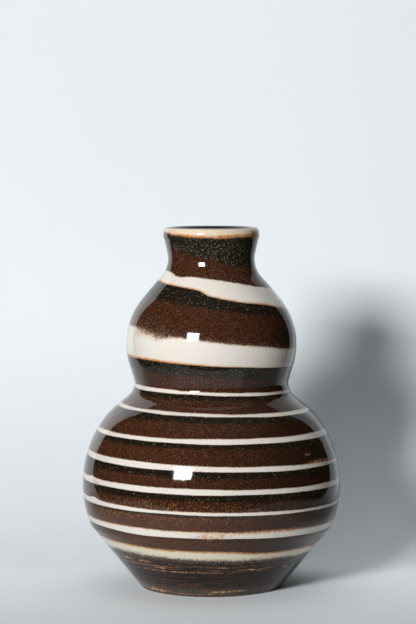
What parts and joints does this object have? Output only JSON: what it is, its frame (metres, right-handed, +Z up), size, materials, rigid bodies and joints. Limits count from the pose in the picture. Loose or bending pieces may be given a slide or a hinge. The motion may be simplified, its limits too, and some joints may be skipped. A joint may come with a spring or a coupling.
{
  "type": "gourd vase",
  "caption": "Double-bulb gourd vase with a short neck and rolled lip, its wall a stack of white, black and brown clay layers under clear gloss glaze, for cut flowers.",
  "frame": {"origin": "middle of the foot, on the surface that the vase stands on", "axes": "+Z up along the pot's axis, -Y towards the viewer of the picture, +X to the right, where the layers drop"},
  "size_m": [0.1332, 0.1332, 0.185],
  "materials": {
    "white_clay": "gloss clear glaze",
    "black_clay": "gloss clear glaze",
    "brown_clay": "gloss clear glaze"
  },
  "bodies": {
    "root": {"foot_base": "brown_clay", "foot_white": "white_clay", "heel_brown": "brown_clay", "heel_black": "black_clay", "heel_white": "white_clay", "knee_brown": "brown_clay", "knee_black": "black_clay", "knee_white": "white_clay", "hip_brown": "brown_clay", "hip_black": "black_clay", "hip_white": "white_clay", "low_belly_brown": "brown_clay", "low_belly_black": "black_clay", "low_belly_white": "white_clay", "mid_belly_brown": "brown_clay", "mid_belly_black": "black_clay", "mid_belly_white": "white_clay", "high_belly_brown": "brown_clay", "high_belly_black": "black_clay", "high_belly_white": "white_clay", "flank_brown": "brown_clay", "flank_black": "black_clay", "flank_white": "white_clay", "collar_brown": "brown_clay", "collar_black": "black_clay", "collar_white": "white_clay", "waist_brown": "brown_clay", "waist_black": "black_clay", "waist_white": "white_clay", "bulb_brown": "brown_clay", "bulb_black": "black_clay", "bulb_white": "white_clay", "shoulder_brown": "brown_clay", "shoulder_black": "black_clay", "shoulder_white": "white_clay", "rim_brown": "brown_clay", "rim_black": "black_clay", "rim_white": "white_clay"}
  },
  "joints": []
}
